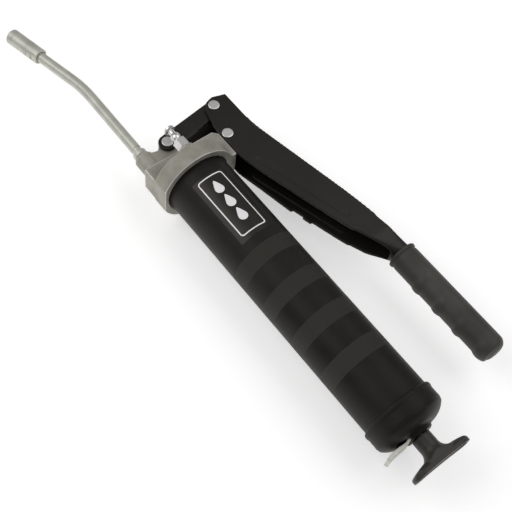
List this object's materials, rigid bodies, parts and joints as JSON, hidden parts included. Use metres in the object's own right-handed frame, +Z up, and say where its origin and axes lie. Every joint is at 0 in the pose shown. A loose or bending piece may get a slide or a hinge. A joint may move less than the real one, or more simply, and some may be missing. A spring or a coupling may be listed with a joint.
{
  "type": "grease gun",
  "caption": "Lever-operated cartridge grease gun with rigid delivery pipe, quick coupler, spring-loaded follower and T-shaped pull handle.",
  "frame": {"origin": "on the barrel's axis, at the rear face of the head casting", "axes": "+X along the barrel from the head to the pull handle, +Y from the barrel to the lever, +Z up with the gun lying on its side, along the linkage pins"},
  "size_m": [0.5141, 0.1539, 0.071],
  "materials": {
    "cast_head": "as-cast, sprayed satin",
    "black_paint": "semi-gloss",
    "satin_black": "satin",
    "zinc_steel": "zinc plated",
    "dark_steel": "oiled",
    "bright_steel": "polished",
    "spring_steel": "oil tempered",
    "grip_rubber": "matte",
    "seal_rubber": "matte",
    "handle_plastic": "moulded",
    "label_film": "printed film"
  },
  "bodies": {
    "gun_body": {"head_casting": "cast_head", "barrel_tube": "black_paint", "barrel_gasket": "seal_rubber", "barrel_label": "label_film", "end_cap": "black_paint", "spring_seat": "dark_steel", "delivery_tube": "zinc_steel", "tube_collar": "zinc_steel", "outlet_spring": "spring_steel", "coupler_body": "zinc_steel", "coupler_sleeve": "zinc_steel", "coupler_seal": "seal_rubber", "coupler_spring": "spring_steel", "filler_nipple": "zinc_steel", "filler_spring": "spring_steel", "plunger_seal": "seal_rubber", "follower_spring": "spring_steel", "release_spring": "spring_steel"},
    "link": {"link_near": "satin_black", "link_far": "satin_black", "link_spacer": "dark_steel", "link_pin": "zinc_steel", "link_pin_clip": "dark_steel"},
    "lever": {"lever_arm": "satin_black", "lever_grip": "grip_rubber", "lever_pin": "zinc_steel", "plunger_pin": "zinc_steel", "lever_pin_clips": "dark_steel"},
    "plunger": {"plunger": "bright_steel"},
    "follower": {"follower_rod": "zinc_steel", "t_handle": "handle_plastic", "handle_pin": "dark_steel", "follower_cup": "seal_rubber", "follower_washers": "dark_steel", "follower_nut": "zinc_steel"},
    "release": {"release_lever": "zinc_steel"},
    "outlet_ball": {"outlet_ball": "bright_steel"},
    "jaws": {"coupler_jaws": "dark_steel"},
    "filler_ball": {"filler_ball": "bright_steel"}
  },
  "joints": [
    {"name": "link_swing", "type": "hinge", "parent": "gun_body", "child": "link", "pos_m": [-0.0425, -0.001, 0], "axis": [0, 0, 1], "range_deg": [-1.25, 0.05]},
    {"name": "lever_open", "type": "hinge", "parent": "link", "child": "lever", "pos_m": [-0.0502, 0.0523, 0], "axis": [0, 0, 1], "range_deg": [0, 38]},
    {"name": "plunger_stroke", "type": "slide", "parent": "gun_body", "child": "plunger", "axis": [0, 1, 0], "range_m": [0, 0.0201]},
    {"name": "follower_slide", "type": "slide", "parent": "gun_body", "child": "follower", "axis": [1, 0, 0], "range_m": [0, 0.18], "stiffness_N_per_m": 220, "springref_m": -0.06, "deforming": ["follower_spring"]},
    {"name": "release_press", "type": "hinge", "parent": "gun_body", "child": "release", "pos_m": [0.2648, 0.0076, 0], "axis": [0, 0, -1], "range_deg": [0, 2.5], "stiffness_Nm_per_rad": 0.6, "springref_deg": -2.86, "deforming": ["release_spring"]},
    {"name": "outlet_ball_lift", "type": "slide", "parent": "gun_body", "child": "outlet_ball", "axis": [-1, 0, 0], "range_m": [0, 0.0015], "stiffness_N_per_m": 400, "springref_m": -0.002, "deforming": ["outlet_spring"]},
    {"name": "jaw_slide", "type": "slide", "parent": "gun_body", "child": "jaws", "axis": [0.9744, 0.225, 0], "range_m": [0, 0.0015], "stiffness_N_per_m": 2000, "springref_m": -0.002, "deforming": ["coupler_spring"]},
    {"name": "filler_ball_lift", "type": "slide", "parent": "gun_body", "child": "filler_ball", "axis": [1, 0, 0], "range_m": [0, 0.001], "stiffness_N_per_m": 300, "springref_m": -0.001, "deforming": ["filler_spring"]}
  ],
  "couplings": [
    {"joint": "link_swing", "follows": "lever_open", "ratio": -0.0306},
    {"joint": "plunger_stroke", "follows": "lever_open", "m_per_rad": 0.03}
  ]
}
